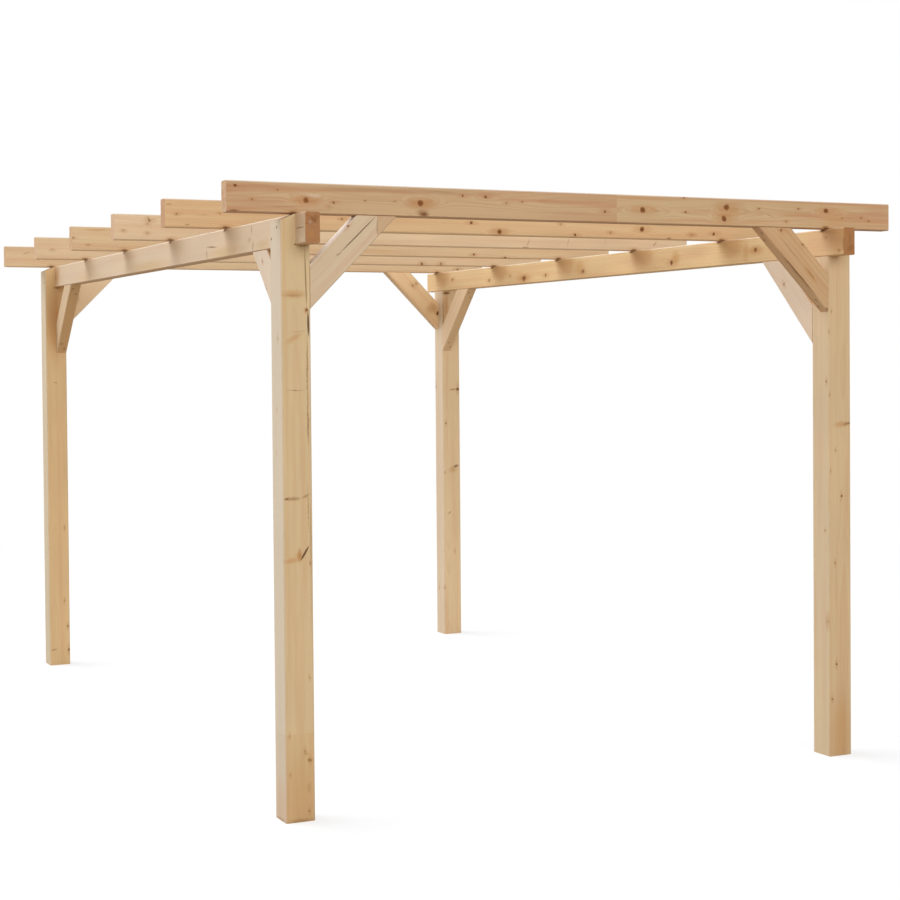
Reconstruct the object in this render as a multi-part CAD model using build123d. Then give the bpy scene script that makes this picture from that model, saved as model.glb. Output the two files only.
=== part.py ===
from build123d import *
import os

# Wooden pergola: four notched posts carry two purlins, six rafters lie across the
# purlins on edge, and eight short 45 degree braces stiffen the corners.
# Millimetres. +X runs along the rafters to the right, +Y runs along the purlins to
# the back, +Z is up. The origin is on the ground, in the middle of the plan.

# ---- Overall sizes ----
FRAME_WIDTH = 2700        # across the outer faces of the posts, along X
FRAME_DEPTH = 4200        # across the outer faces of the posts, along Y
SEAT_HEIGHT = 2240        # ground to the seats that carry the purlins
RAFTER_OVERHANG = 216     # rafter beyond the outer face of a post, each end
RIGHT_TRIM = 15           # cut off the right end of every rafter behind the first
PURLIN_OVERHANG = 110     # purlin beyond the outer face of a post, each end
RAFTER_COUNT = 6

# ---- Timber sections ----
POST = 120                # square post
THICKNESS = 60            # purlins, rafters and braces
BOARD_DEPTH = 120         # purlins and rafters on edge, and the width of a brace
EASE = 4                  # flat taken off every long arris

# ---- Joints ----
BEVEL_DROP = 25           # fall of the sloped post top across the standing cheek
CROSS_BRACE_EDGE = 520    # long edge of a brace under a rafter, tip to tip
SIDE_BRACE_EDGE = 550     # long edge of a brace under a purlin, tip to tip

# ---- Sizes that follow ----
ROOT_TWO = 2 ** 0.5
CHEEK = POST - THICKNESS
TOP_OF_PURLIN = SEAT_HEIGHT + BOARD_DEPTH
OUTER_X = FRAME_WIDTH / 2
OUTER_Y = FRAME_DEPTH / 2
INNER_X = OUTER_X - POST
INNER_Y = OUTER_Y - POST
RAFTER_LENGTH = FRAME_WIDTH + 2 * RAFTER_OVERHANG
PURLIN_LENGTH = FRAME_DEPTH + 2 * PURLIN_OVERHANG
RAFTER_PITCH = (FRAME_DEPTH - THICKNESS) / (RAFTER_COUNT - 1)


def outline(*points):
    """A closed face in the XZ plane from its corner points."""
    return Plane.XZ * make_face(Polyline(*points, close=True))


def post():
    """The front left post, notched on its inner half.

    The inner half stops at the seat. The outer half stands beside the purlin as a
    cheek, and its top is cut to a slope that falls outward to shed water.
    """
    side = outline(
        (0, 0),
        (POST, 0),
        (POST, SEAT_HEIGHT),
        (CHEEK, SEAT_HEIGHT),
        (CHEEK, TOP_OF_PURLIN),
        (0, TOP_OF_PURLIN - BEVEL_DROP),
    )
    blank = extrude(side, amount=POST, dir=(0, 1, 0))
    rows = blank.edges().filter_by(Axis.Z).group_by(Axis.X)
    eased = chamfer(rows[0] + rows[-1], EASE)
    return Pos(-OUTER_X, -OUTER_Y, 0) * eased


def beam(length):
    """A purlin or rafter on edge, centred on the origin, lying along X."""
    blank = Box(length, THICKNESS, BOARD_DEPTH)
    return chamfer(blank.edges().filter_by(Axis.X), EASE)


def brace(long_edge):
    """A 45 degree brace in the XZ plane, in the corner of a post and a beam.

    One end is cut plumb against the post at x = 0, the other is cut level under the
    beam at z = 0. The flat sides run from y = 0 to the timber thickness.
    """
    reach = long_edge / ROOT_TWO
    cut = BOARD_DEPTH * ROOT_TWO
    side = outline(
        (0, -reach),
        (reach, 0),
        (reach - cut, 0),
        (0, cut - reach),
    )
    blank = extrude(side, amount=THICKNESS, dir=(0, 1, 0))
    upright = blank.edges().filter_by(Axis.Z)
    level = blank.edges().filter_by(Axis.X)
    thick = blank.edges().filter_by(Axis.Y)
    return chamfer(blank.edges() - upright - level - thick, EASE)


def save(name, solid):
    """Write one timber to its own file."""
    export_step(solid, f"parts/{name}.step")


def save_corners(name, front_left):
    """Write the same timber for all four corners, each the mirror of its neighbour."""
    for depth, left in (("front", front_left), ("back", mirror(front_left, about=Plane.XZ))):
        save(f"{name}_{depth}_left", left)
        save(f"{name}_{depth}_right", mirror(left, about=Plane.YZ))


os.makedirs("parts", exist_ok=True)

# ---- Posts ----
save_corners("post", post())

# ---- Purlins, on the seats, hard against the cheeks ----
purlin = Rot(0, 0, 90) * beam(PURLIN_LENGTH)
purlin_x = INNER_X + THICKNESS / 2
purlin_z = SEAT_HEIGHT + BOARD_DEPTH / 2
save("purlin_left", Pos(-purlin_x, 0, purlin_z) * purlin)
save("purlin_right", Pos(purlin_x, 0, purlin_z) * purlin)

# ---- Rafters, evenly spaced, the end ones flush with the post faces ----
first_y = -OUTER_Y + THICKNESS / 2
rafter_z = TOP_OF_PURLIN + BOARD_DEPTH / 2
for number in range(RAFTER_COUNT):
    trim = RIGHT_TRIM if number else 0
    rafter_y = first_y + number * RAFTER_PITCH
    save(f"rafter_{number + 1}", Pos(-trim / 2, rafter_y, rafter_z) * beam(RAFTER_LENGTH - trim))

# ---- Cross braces, under the end rafters, flush with the outer post faces ----
across = brace(CROSS_BRACE_EDGE)
save_corners("cross_brace", Pos(-INNER_X, -OUTER_Y, TOP_OF_PURLIN) * across)

# ---- Side braces, under the purlins, flush with their inner faces ----
along = Rot(0, 0, 90) * brace(SIDE_BRACE_EDGE)
save_corners("side_brace", Pos(-INNER_X, -INNER_Y, SEAT_HEIGHT) * along)
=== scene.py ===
# %% [markdown]
# # A wooden pergola in planed softwood
# The pergola is twenty straight timbers: four posts, two purlins, six rafters and
# eight braces. Their shapes are final, so this lesson gives each its wood and adds the
# screws. It works in metres: +X along the rafters, +Y along the purlins to the back
# and +Z up.

# %% Load the timbers
import math
import random

import bpy
from mathutils import Matrix, Vector


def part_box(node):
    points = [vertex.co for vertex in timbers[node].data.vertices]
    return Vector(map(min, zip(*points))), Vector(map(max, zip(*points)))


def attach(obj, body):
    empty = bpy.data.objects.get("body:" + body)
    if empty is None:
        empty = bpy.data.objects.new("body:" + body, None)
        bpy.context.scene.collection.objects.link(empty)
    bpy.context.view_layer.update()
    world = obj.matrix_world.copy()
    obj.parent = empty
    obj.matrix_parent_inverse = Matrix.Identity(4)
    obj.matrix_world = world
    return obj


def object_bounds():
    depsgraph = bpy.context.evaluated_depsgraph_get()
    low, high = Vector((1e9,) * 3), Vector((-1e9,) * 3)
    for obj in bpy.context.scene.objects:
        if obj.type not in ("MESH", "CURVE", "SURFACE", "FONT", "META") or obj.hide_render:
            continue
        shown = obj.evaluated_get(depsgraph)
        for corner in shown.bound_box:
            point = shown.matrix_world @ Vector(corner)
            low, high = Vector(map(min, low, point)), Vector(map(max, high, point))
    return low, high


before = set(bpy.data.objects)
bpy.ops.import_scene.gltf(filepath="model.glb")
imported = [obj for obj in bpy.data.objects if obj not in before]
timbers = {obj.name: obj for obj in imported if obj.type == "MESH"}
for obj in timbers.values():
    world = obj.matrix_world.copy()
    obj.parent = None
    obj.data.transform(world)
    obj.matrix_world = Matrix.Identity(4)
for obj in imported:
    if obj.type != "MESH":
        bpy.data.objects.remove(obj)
cad_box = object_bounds()
print(len(timbers), "timbers, from", cad_box[0][:], "to", cad_box[1][:])

# %% [markdown]
# ## The camera
# A person of middle height stands some nine metres away, outside the front left corner,
# and looks almost level through a moderately long lens. The three angles are turned
# into the camera's own axes.

# %% Set up the camera
CAMERA_PLACE = Vector((-3.706, -8.636, 1.790))
HEADING, PITCH, ROLL = (math.radians(angle) for angle in (25.159, -1.269, -0.459))
LENS = 71.89
UPWARD_SHIFT = -0.0556

forward = Vector((math.sin(HEADING) * math.cos(PITCH), math.cos(HEADING) * math.cos(PITCH),
                  math.sin(PITCH)))
level_right = Vector((math.cos(HEADING), -math.sin(HEADING), 0))
level_up = level_right.cross(forward)
right = math.cos(ROLL) * level_right + math.sin(ROLL) * level_up
up = math.cos(ROLL) * level_up - math.sin(ROLL) * level_right
camera_axes = Matrix((right, up, -forward)).transposed()

camera = bpy.data.objects.new("camera", bpy.data.cameras.new("camera"))
bpy.context.scene.collection.objects.link(camera)
camera.data.lens = LENS
camera.data.shift_y = UPWARD_SHIFT
camera.matrix_world = Matrix.Translation(CAMERA_PLACE) @ camera_axes.to_4x4()
bpy.context.scene.camera = camera
bpy.context.scene.view_settings.view_transform = "Standard"
print("camera at", CAMERA_PLACE[:], "with a", LENS, "mm lens")

# %% [markdown]
# ## Soft studio light
# Very large, soft lamps suit a thing of this size. The main one is high up behind the
# left side: it brightens tops and left faces, and each rafter shades the purlin in
# front of it. A weaker, slightly warm one fills the front.

# %% Place the lamps
MIDDLE_HEIGHT = (cad_box[0].z + cad_box[1].z) / 2


def soft_lamp(name, towards, distance, width, height, power, colour):
    """A lamp that far out in that direction, which faces the middle of the pergola."""
    data = bpy.data.lights.new(name, "AREA")
    data.shape = "RECTANGLE"
    data.size, data.size_y = width, height
    data.energy = power
    data.color = colour
    lamp = bpy.data.objects.new(name, data)
    bpy.context.scene.collection.objects.link(lamp)
    direction = Vector(towards).normalized()
    lamp.location = Vector((0, 0, MIDDLE_HEIGHT)) + direction * distance
    lamp.rotation_euler = direction.to_track_quat("Z", "Y").to_euler()
    lamp.visible_camera = False
    lamp.visible_glossy = False
    return lamp


main_lamp = soft_lamp("main_lamp", (-0.72, 0.70, 0.80), 48, 48.0, 48.0, 24000, (0.94, 0.98, 1.08))
front_lamp = soft_lamp("front_lamp", (-0.10, -1.0, 0.35), 60, 60.0, 28.0, 16000, (1.0, 0.96, 0.92))
print("lamps at", [[round(share, 1) for share in lamp.location] for lamp in (main_lamp, front_lamp)])

# %% [markdown]
# ## Helpers for shader nodes
# Wood is built from many small sums, so a short helper for each kind of node keeps the
# recipes readable. An input is either typed into the node or joined to another node.

# %% Node helpers
class Recipe:
    """The node tree of a material or a world, with a short method for each kind of node."""

    def __init__(self, owner):
        owner.use_nodes = True
        self.owner = owner
        self.tree = owner.node_tree
        self.tree.nodes.clear()

    def node(self, kind, **inputs):
        made = self.tree.nodes.new("ShaderNode" + kind)
        for name, value in inputs.items():
            self.feed(made.inputs[name], value)
        return made

    def feed(self, socket, value):
        if isinstance(value, bpy.types.NodeSocket):
            self.tree.links.new(value, socket)
        elif value is not None:
            socket.default_value = value

    def maths(self, operation, first, second=None, third=None, clamp=False):
        made = self.tree.nodes.new("ShaderNodeMath")
        made.operation = operation
        made.use_clamp = clamp
        for socket, value in zip(made.inputs, (first, second, third)):
            self.feed(socket, value)
        return made.outputs[0]

    def times(self, first, second):
        return self.maths("MULTIPLY", first, second)

    def scaled(self, value, factor, added):
        return self.maths("MULTIPLY_ADD", value, factor, added)

    def extreme(self, operation, values, none=0.0):
        """The largest or smallest of some values, or none if there are no values."""
        result = None
        for value in values:
            result = value if result is None else self.maths(operation, result, value)
        return none if result is None else result

    def vector(self, operation, first, second=None, scale=None):
        made = self.tree.nodes.new("ShaderNodeVectorMath")
        made.operation = operation
        self.feed(made.inputs[0], first)
        self.feed(made.inputs[1], second)
        if scale is not None:
            self.feed(made.inputs["Scale"], scale)
        number = operation in ("DOT_PRODUCT", "LENGTH")
        return made.outputs["Value" if number else "Vector"]

    def along(self, vector, axis):
        """How far a vector reaches along an axis."""
        return self.vector("DOT_PRODUCT", vector, axis)

    def moved(self, vector, way, distance):
        """A vector, moved that far along another."""
        return self.vector("ADD", vector, self.vector("SCALE", way, scale=distance))

    def rise(self, value, start, end, low=0.0, high=1.0):
        """Goes smoothly from low at start to high at end, and stays level outside them."""
        made = self.tree.nodes.new("ShaderNodeMapRange")
        made.interpolation_type = "SMOOTHSTEP"
        sockets = ("Value", "From Min", "From Max", "To Min", "To Max")
        for name, given in zip(sockets, (value, start, end, low, high)):
            self.feed(made.inputs[name], given)
        return made.outputs["Result"]

    def grey(self, value):
        """A number as a colour."""
        return self.node("CombineColor", Red=value, Green=value, Blue=value).outputs[0]

    def blend(self, share, first, second, mode="MIX"):
        """Mixes two colours; a share of 1 gives the second."""
        made = self.tree.nodes.new("ShaderNodeMix")
        made.data_type = "RGBA"
        made.blend_type = mode
        self.feed(made.inputs[0], share)
        self.feed(made.inputs[6], first)
        self.feed(made.inputs[7], second)
        return made.outputs[2]

    def place(self, vector, location, turn=(0, 0, 0), size=(1, 1, 1)):
        """Reads a vector from a frame that sits at location, is turned, and has that unit size."""
        made = self.tree.nodes.new("ShaderNodeMapping")
        made.vector_type = "TEXTURE"
        self.feed(made.inputs["Vector"], vector)
        made.inputs["Location"].default_value = location
        made.inputs["Rotation"].default_value = turn
        made.inputs["Scale"].default_value = size
        return made.outputs["Vector"]

    def noise(self, vector, scale, detail=2.0, roughness=0.5, colour=False):
        made = self.node("TexNoise", Vector=vector, Scale=scale, Detail=detail, Roughness=roughness)
        return made.outputs["Color" if colour else "Fac"]

    def drawn_noise(self, vector, waves, detail=2.0, roughness=0.5):
        """Noise with that many waves to the metre along each axis, so it can be drawn out."""
        return self.noise(self.vector("MULTIPLY", vector, waves), 1.0, detail, roughness)

    def around_nought(self, colour):
        """A noise colour as a vector that points every way alike."""
        return self.vector("SUBTRACT", colour, (0.5, 0.5, 0.5))


print("node helpers:", [name for name in vars(Recipe) if not name.startswith("_")])

# %% [markdown]
# ## A white surrounding
# The world is white where the camera or a reflection sees it, and a quieter, even light
# for all else, so the background doesn't depend on how strongly the timbers are lit.

# %% Build the world
WORLD_LIGHT = 0.44

bpy.context.scene.world = bpy.data.worlds.new("studio")
sky = Recipe(bpy.context.scene.world)
ray = sky.node("LightPath").outputs
bounced = sky.maths("MAXIMUM", ray["Is Glossy Ray"], ray["Is Transmission Ray"])
looked_at = sky.maths("MAXIMUM", ray["Is Camera Ray"], bounced)
even_light = sky.node("Background", Color=(0.98, 0.99, 1.0, 1), Strength=WORLD_LIGHT)
white = sky.node("Background", Color=(1, 1, 1, 1), Strength=1.0)
chosen = sky.node("MixShader", Fac=looked_at)
sky.feed(chosen.inputs[1], even_light.outputs[0])
sky.feed(chosen.inputs[2], white.outputs[0])
sky.node("OutputWorld", Surface=chosen.outputs[0])
print("world light", WORLD_LIGHT)

# %% [markdown]
# ## The floor
# A pale studio floor keeps the soft shadow of the timbers. To the camera it also shines
# by itself, up to paper white, to hide the horizon.

# %% Lay the floor
FLOOR_RADIUS = 60
FLOOR_SHARE = 0.32
FLOOR_GLOW = 0.72
FLOOR_BOUNCE = (0.49, 0.43, 0.34, 1)
CLEAR_OF_SHADOW = 4.5

bpy.ops.object.select_all(action="DESELECT")
bpy.ops.mesh.primitive_circle_add(vertices=96, radius=FLOOR_RADIUS, fill_type="NGON",
                                  location=(0, 0, cad_box[0].z))
floor = bpy.context.active_object
floor.name = "studio_floor"

paper = Recipe(bpy.data.materials.new("pale_floor"))
to_camera = paper.node("LightPath").outputs["Is Camera Ray"]
reach = paper.vector("LENGTH", paper.node("TexCoord").outputs["Object"])
outside = paper.rise(reach, CLEAR_OF_SHADOW, 2 * CLEAR_OF_SHADOW)
share = paper.scaled(outside, -FLOOR_SHARE, FLOOR_SHARE)
glow = paper.scaled(outside, 1.0 - FLOOR_GLOW, FLOOR_GLOW)
matt = paper.node("BsdfDiffuse", Color=paper.blend(to_camera, FLOOR_BOUNCE, paper.grey(share)))
shining = paper.node("Emission", Strength=paper.times(to_camera, glow))
together = paper.node("AddShader")
paper.feed(together.inputs[0], matt.outputs[0])
paper.feed(together.inputs[1], shining.outputs[0])
paper.node("OutputMaterial", Surface=together.outputs[0])
floor.data.materials.append(paper.owner)
print("floor laid at z =", round(cad_box[0].z, 4))

# %% [markdown]
# ## Where the grain runs
# In sawn timber the grain runs along the length, so every pattern is drawn in the
# timber's own frame: u along the grain, v and w across it, from the timber's middle. A
# post's grain runs up, a rafter's along X, a purlin's along Y, a brace's up its slope.

# %% Find each timber's frame
ASIDE, AHEAD, UP = Vector((1, 0, 0)), Vector((0, 1, 0)), Vector((0, 0, 1))


def grain_direction(name):
    if name.startswith("post"):
        return UP
    if name.startswith("rafter"):
        return ASIDE
    if name.startswith("purlin"):
        return AHEAD
    if name.startswith("cross"):
        return (UP - ASIDE if name.endswith("right") else UP + ASIDE).normalized()
    return (UP - AHEAD if "back" in name else UP + AHEAD).normalized()


def first_across(name):
    """The level direction across the grain, or up for a purlin, that the pattern's v follows."""
    if name.startswith(("post", "side")):
        return ASIDE
    return UP if name.startswith("purlin") else AHEAD


class TimberFrame:
    """The middle and the three directions of a timber, and the way into them."""

    def __init__(self, name):
        self.low, self.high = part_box(name)
        self.middle = (self.low + self.high) / 2
        u, v = grain_direction(name), first_across(name)
        self.axes = Matrix((u, v, u.cross(v)))

    def inside(self, point):
        """A point of the pergola, as u, v, w of this timber."""
        return self.axes @ (point - self.middle)

    def turn(self):
        return self.axes.transposed().to_euler("XYZ")

    def on_face(self, face, along, height):
        """A point on the front face, where along is its x, or on the left one, where it is its y."""
        if face == "front":
            return Vector((along, self.low.y, height))
        return Vector((self.low.x, along, height))


frames = {name: TimberFrame(name) for name in timbers}
print("grain runs along", {name: frames[name].axes[0][:] for name in ("post_front_left", "rafter_1")})

# %% [markdown]
# ## Where the screws go
# Two screws at either end of a brace are driven square through its long lower edge,
# and two go through each post's cheek into the end of the purlin. A place is a point
# on the timber's surface with the direction that the head faces.

# %% Find the places of the screws
# how far from a tip of the brace's lower edge, and how far sideways from its middle
BRACE_SCREWS = ((0.035, 0.012), (0.075, -0.010))
# how far behind the cheek's outer side, and how far below its top
CHEEK_SCREWS = ((0.044, 0.051), (0.104, 0.093))


def brace_screws(name):
    """The screws through the lower edge of a brace, two from either tip."""
    timber = frames[name]
    level, across = (ASIDE, AHEAD) if name.startswith("cross") else (AHEAD, ASIDE)
    post_side = name.endswith("right") if name.startswith("cross") else "back" in name
    level = -level if post_side else level
    tip_way = (level + UP).normalized()
    reach = tip_way * (timber.high - timber.low).z / math.sqrt(2)
    outward = (level - UP).normalized()
    found = []
    for near, sideways in BRACE_SCREWS:
        found.append((timber.middle - reach + tip_way * near + across * sideways, outward))
        found.append((timber.middle + reach - tip_way * near - across * sideways, outward))
    return found


def cheek_screws(name):
    """The two screws through the cheek of a post."""
    low, high = frames[name].low, frames[name].high
    side, outward = (low.x, -ASIDE) if name.endswith("left") else (high.x, ASIDE)
    outer, inward = (low.y, 1) if "front" in name else (high.y, -1)
    return [(Vector((side, outer + inward * behind, high.z - below)), outward)
            for behind, below in CHEEK_SCREWS]


SCREWS = {name: brace_screws(name) for name in timbers if "brace" in name}
SCREWS.update({name: cheek_screws(name) for name in timbers if name.startswith("post")})
print(sum(len(places) for places in SCREWS.values()), "screws")

# %% [markdown]
# ## Where timbers touch
# Where a rafter crosses a purlin, a small dark patch is painted shadow in the groove, and
# a wider orange one beside it is painted warm shade. These marks are worked out from the
# timbers' own boxes, so they stay right when a size changes.

# %% Find the marks where rafters cross purlins
# how long the dark patch of painted shadow is, and how strong the painted warm shade beside it
CONTACT_SHADOW_LENGTH = {"purlin_left": 0.055, "purlin_right": 0.070}
PAINTED_WARM_SHADE = {"purlin_left": 0.25, "purlin_right": 0.8}


def contact_shadow_marks(name):
    """Painted shadow and warm shade on a purlin under each rafter, or on a rafter over each purlin."""
    low, high = frames[name].low, frames[name].high
    dark, orange = [], []
    if name.startswith("purlin"):
        for number in range(1, 7):
            front = frames[f"rafter_{number}"].low.y
            # painted shadow in the groove under the rafter, then painted warm shade beside it
            dark.append((front + 0.042, high.z - 0.004, CONTACT_SHADOW_LENGTH[name], 0.020, 0.85))
            orange.append((front - 0.07, high.z - 0.03, 0.30, 0.17, PAINTED_WARM_SHADE[name]))
    if name.startswith("rafter"):
        for purlin in ("purlin_left", "purlin_right"):
            side = frames[purlin].low.x - 0.008
            # painted shadow where the rafter sits on the purlin, then painted warm shade round it
            dark.append((side, low.z + 0.003, 0.048, 0.020, 0.9))
            orange.append((side, low.z + 0.003, 0.10, 0.05, 0.5))
    face = "left" if name.startswith("purlin") else "front"
    return [(face, {"dark": dark, "orange": orange})]


print("grooves under the rafters:", CONTACT_SHADOW_LENGTH)

# %% [markdown]
# ## Colours of the wood
# Softwood is cream in the early wood and honey-brown in the late wood. A few colours,
# mixed, keep all timbers of one family. They are given as they show on a screen.

# %% Mix the colours
def from_screen(red, green, blue):
    """A colour given as it shows on a screen, from 0 to 255, as the linear colour a shader takes."""
    shares = [value / 255 for value in (red, green, blue)]
    return tuple(s / 12.92 if s <= 0.04045 else ((s + 0.055) / 1.055) ** 2.4 for s in shares) + (1.0,)


EARLY_WOOD = from_screen(226, 195, 153)
LATE_WOOD = from_screen(190, 142, 94)
HEART_TINT = from_screen(208, 150, 108)
KNOT_BROWN = from_screen(156, 96, 44)
KNOT_DARK = from_screen(116, 64, 18)
HALO_ORANGE = from_screen(190, 130, 78)
# The next three are painted light on left sides, a pale cream for painted highlights on tops and eased
# edges and for pale marks, and painted shade for undersides.
PAINTED_LEFT_LIGHT = from_screen(222, 212, 200)
PALE_CREAM = from_screen(248, 234, 220)
PAINTED_UNDER_SHADE = from_screen(152, 100, 54)
END_BROWN = from_screen(150, 84, 34)
print("early wood, as a shader takes it:", [round(share, 3) for share in EARLY_WOOD[:3]])

# %% [markdown]
# ## Laying the grain
# In each timber's recipe, every step leaves what the next ones need. The first reads
# the timber's own frame. At a finger joint, where two lengths are glued end to end,
# the frame jumps to other rings. Two kinds of noise then let the grain wave.

# %% The grain
JOINT_HALF_WIDTH = 0.0006
JOINT_STEP = (0.0, 0.018, 0.034)
JOINT_SEED = (7.0, 3.0, 2.0)
SLOW_WAVES, SLOW_SWAY = 22.0, 0.006
FINE_WAVES, FINE_SWAY, STEADY_SWAY = 170.0, 0.0080, 0.0012


class Wood(Recipe):
    """The wood of one timber, and what the steps of its recipe leave for each other."""

    def __init__(self, name):
        super().__init__(bpy.data.materials.new("wood_" + name))
        self.name = name
        self.timber = frames[name]
        self.dice = random.Random("grain of " + name)
        self.shift = Vector([self.dice.uniform(-40, 40) for _ in range(3)])

    def paint(self, share, colour, mode="MIX"):
        """Lay a colour over the wood, as thick as that share."""
        self.colour = self.blend(share, self.colour, colour, mode)


def lay_grain(wood, joint):
    """The timber's frame, which jumps at a joint, and two copies of it that wave."""
    coordinates = wood.node("TexCoord")
    placed = coordinates.outputs["Object"]
    wood.normal = coordinates.outputs["Normal"]
    wood.local = wood.place(placed, wood.timber.middle, wood.timber.turn())
    wood.grain = wood.local
    wood.seeded = wood.vector("ADD", wood.local, wood.shift)
    wood.beyond_joint = 0.0
    if joint:
        where = wood.along(placed, UP if wood.name.startswith("post") else ASIDE)
        wood.beyond_joint = wood.rise(where, joint[0] - JOINT_HALF_WIDTH, joint[0] + JOINT_HALF_WIDTH)
        wood.grain = wood.moved(wood.local, JOINT_STEP, wood.beyond_joint)
        wood.seeded = wood.moved(wood.seeded, JOINT_SEED, wood.beyond_joint)
    slow = wood.around_nought(wood.noise(wood.seeded, SLOW_WAVES, 1.0, colour=True))
    wood.fine = wood.around_nought(wood.noise(wood.seeded, FINE_WAVES, 1.5, colour=True))
    wood.waving = wood.moved(wood.moved(wood.local, slow, SLOW_SWAY), wood.fine, FINE_SWAY)
    wood.steady = wood.moved(wood.local, wood.fine, STEADY_SWAY)


print("the grain sways by up to", 1000 * SLOW_SWAY / 2, "mm")

# %% [markdown]
# ## Knots
# A knot is a branch that the tree grew round: a cone that starts at the pith, the
# tree's middle line, and leaves through a face. A painted spot would lie on one face
# only, but a cone, cut by the timber's faces, comes out right on each of them.

# %% Grow the knots
LEAST_TAPER = 0.04
SWELLING_KNOT = 0.0055
COMMON_GLOW = 0.30


def knot_shape(wood, spot, pith, radius, lean):
    """Two distances from a branch in units of its radius: true, and drawn out along the grain."""
    root = Vector((spot.x - lean, *pith))
    branch = spot - root
    way = branch.normalized()
    grain = (ASIDE - way * way.x).normalized()
    turn = Matrix((way, grain, way.cross(grain))).transposed().to_euler("XYZ")
    near = wood.place(wood.waving, root, turn, (branch.length, radius, radius))
    taper = wood.maths("MAXIMUM", wood.along(near, ASIDE), LEAST_TAPER)
    true = wood.vector("LENGTH", wood.vector("MULTIPLY", near, (0, 0.9, 1)))
    drawn = wood.vector("LENGTH", wood.vector("MULTIPLY", near, (0, 0.30, 0.95)))
    return wood.maths("DIVIDE", true, taper), wood.maths("DIVIDE", drawn, taper)


def grow_knots(wood, pith, faces):
    """How near the knots are and how dark, and how they stain the wood and swell its rings."""
    near, inside, dark, halo, swell = [], [], [], [], []
    noted = [(face, *knot) for face, shown in faces for knot in shown.get("knots", ())]
    for face, along, height, radius, darkness, *glow in noted:
        spot = wood.timber.inside(wood.timber.on_face(face, along, height))
        true, drawn = knot_shape(wood, spot, pith, radius, wood.dice.uniform(0.004, 0.020))
        near.append(true)
        inside.append(wood.rise(true, 1.20, 0.70, 0.0, min(1.0, 1.3 * darkness)))
        dark.append(wood.rise(true, 1.30, 0.40, 0.0, darkness))
        halo.append(wood.rise(drawn, 2.4, 0.6, 0.0, glow[0] if glow else COMMON_GLOW))
        if radius > SWELLING_KNOT:
            swell.append(wood.rise(drawn, 3.4, 0.5, 0.0, radius * 0.8))
    wood.knot_near = wood.extreme("MINIMUM", near, none=9.0)
    wood.in_knot, wood.knot_dark, wood.halo, wood.swell = (
        wood.extreme("MAXIMUM", values) for values in (inside, dark, halo, swell))


print("rings swell beside knots over", 2000 * SWELLING_KNOT, "mm wide")

# %% [markdown]
# ## Rings
# A tree adds a ring a year: pale early wood, then a thin line of dark late wood. Here
# that is the distance from a slowly wandering pith, counted in ring widths. The
# timber's faces cut the rings into lines, arches and circles by themselves.

# %% Draw the rings
RING_WIDTH = 0.0040
PITH_WANDER = (0.0, 0.045, 0.045)


def draw_rings(wood, pith):
    """How much late wood there is, from 0 to 1."""
    onward = wood.along(wood.seeded, ASIDE)
    drift = wood.node("TexNoise", Scale=0.7, Detail=1.5)
    drift.noise_dimensions = "1D"
    wood.feed(drift.inputs["W"], onward)
    wander = wood.vector("MULTIPLY", wood.around_nought(drift.outputs["Color"]), PITH_WANDER)
    across = wood.vector("SUBTRACT", wood.grain, (0.0, *pith))
    across = wood.vector("MULTIPLY", wood.vector("ADD", across, wander), (0.0, 1.0, 1.0))
    distance = wood.vector("LENGTH", across)
    ripple = wood.drawn_noise(wood.seeded, (1.8, 12.0, 12.0))
    distance = wood.scaled(ripple, 0.006, distance)
    distance = wood.scaled(onward, 0.003, distance)
    distance = wood.maths("SUBTRACT", distance, wood.swell)
    count = wood.maths("DIVIDE", distance, RING_WIDTH)
    phase = wood.maths("FRACT", count)
    year = wood.node("TexWhiteNoise")
    year.noise_dimensions = "1D"
    wood.feed(year.inputs["W"], wood.maths("ADD", wood.maths("FLOOR", count), wood.shift.x))
    late = wood.times(wood.rise(phase, 0.30, 0.90), wood.rise(phase, 1.0, 0.90))
    strength = wood.scaled(year.outputs["Value"], 0.9, 0.25)
    wood.late = wood.times(late, strength)


print("rings", 1000 * RING_WIDTH, "mm apart")

# %% [markdown]
# ## Fibres and faces
# Wood is a bundle of fibres, so its finest pattern is noise drawn out along the grain,
# in three sizes, bent where the rings bend. Saw cuts and eased edges look different,
# tops and left sides get painted light and undersides painted shade, so the recipe
# finds out which way a surface looks.

# %% Draw the fibres and find the faces
def draw_fibres(wood):
    """Broad streaks, streaks, fibres and clouds, each from 0 to 1."""
    bend = wood.node("CombineXYZ", Y=wood.swell, Z=wood.swell).outputs[0]
    beside = wood.vector("ADD", wood.seeded, bend)
    wood.broad = wood.drawn_noise(beside, (0.9, 30.0, 30.0), 3.0, 0.55)
    wood.streaks = wood.drawn_noise(beside, (2.5, 150.0, 150.0), 2.0, 0.6)
    wood.fibres = wood.drawn_noise(beside, (26.0, 900.0, 900.0), 2.0, 0.6)
    wood.clouds = wood.drawn_noise(wood.seeded, (2.2, 7.0, 7.0))


def find_faces(wood):
    """Whether the surface is an end or an arris, and how far it looks up or left."""
    axes = wood.timber.axes
    lengthwise, first, second = (wood.along(wood.normal, axis) for axis in axes)
    wood.end_face = wood.rise(wood.maths("ABSOLUTE", lengthwise), 0.72, 0.9)
    wood.arris = wood.rise(wood.maths("ABSOLUTE", wood.times(first, second)), 0.20, 0.40)
    wood.upward = wood.along(wood.normal, UP)
    wood.leftward = wood.along(wood.normal, -ASIDE)


print("fibres and faces are ready")

# %% [markdown]
# ## Sound wood
# Planed wood takes its colour from the rings, the redder heart and the streaks. No two
# boards match, so each timber gets a tone of its own, and the length beyond a joint may
# get another. A left side may get a tone too, which is painted light where it lightens
# and painted shade where it darkens. A tone multiplies, which keeps the pattern.

# %% Colour the sound wood
def opaque(tone):
    """A tone of three shares as a full colour."""
    return (*tone, 1.0)


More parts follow.
